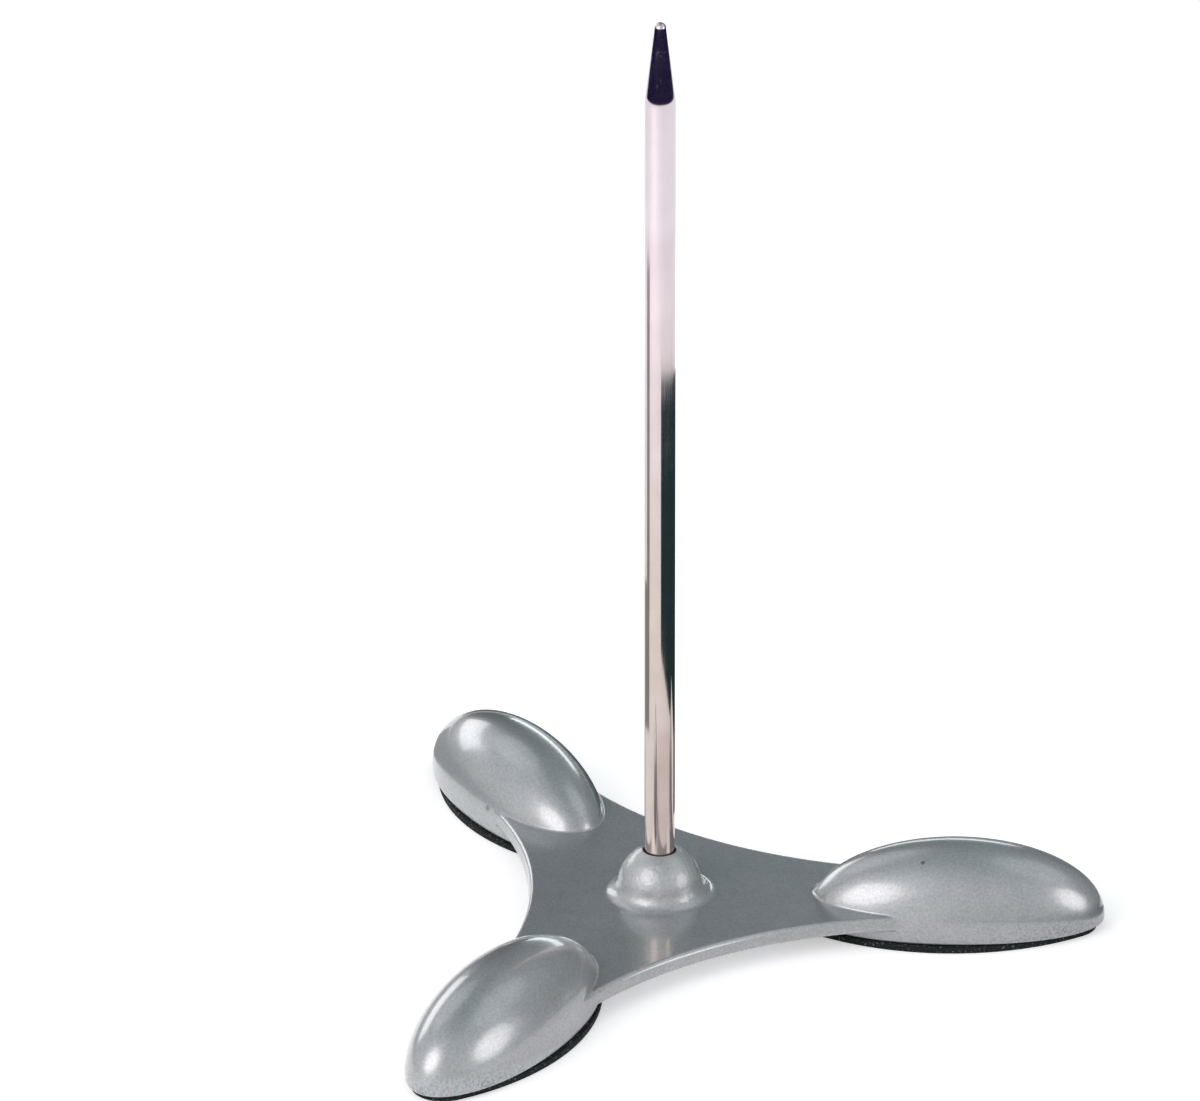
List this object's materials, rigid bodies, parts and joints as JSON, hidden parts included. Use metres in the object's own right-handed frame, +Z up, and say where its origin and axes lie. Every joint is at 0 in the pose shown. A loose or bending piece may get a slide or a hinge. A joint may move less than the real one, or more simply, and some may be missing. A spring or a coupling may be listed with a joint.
{
  "type": "bill spike",
  "caption": "Upright pointed rod on a heavy lobed cast base with oval foot pads, for spiking bills and notes on a desk.",
  "frame": {"origin": "on the rod axis at table level, in the plane of the undersides of the foot pads", "axes": "+Z up along the rod; +X from the rod along the right-hand lobe; +Y to the back"},
  "size_m": [0.1143, 0.13, 0.1589],
  "materials": {
    "base_paint": "silver-grey metallic paint with a satin gloss over a cast surface",
    "rod_plating": "bright polished plating",
    "fixing_steel": "plain zinc-plated fastener",
    "pad_rubber": "matt black sponge rubber",
    "pad_film": "thin double-sided adhesive film"
  },
  "bodies": {
    "root": {"base_casting": "base_paint", "spike_rod": "rod_plating", "flat_washer": "fixing_steel", "spring_washer": "fixing_steel", "hex_nut": "fixing_steel", "foot_pad_right": "pad_rubber", "foot_pad_back_left": "pad_rubber", "foot_pad_front_left": "pad_rubber", "pad_adhesive_right": "pad_film", "pad_adhesive_back_left": "pad_film", "pad_adhesive_front_left": "pad_film"}
  },
  "joints": []
}
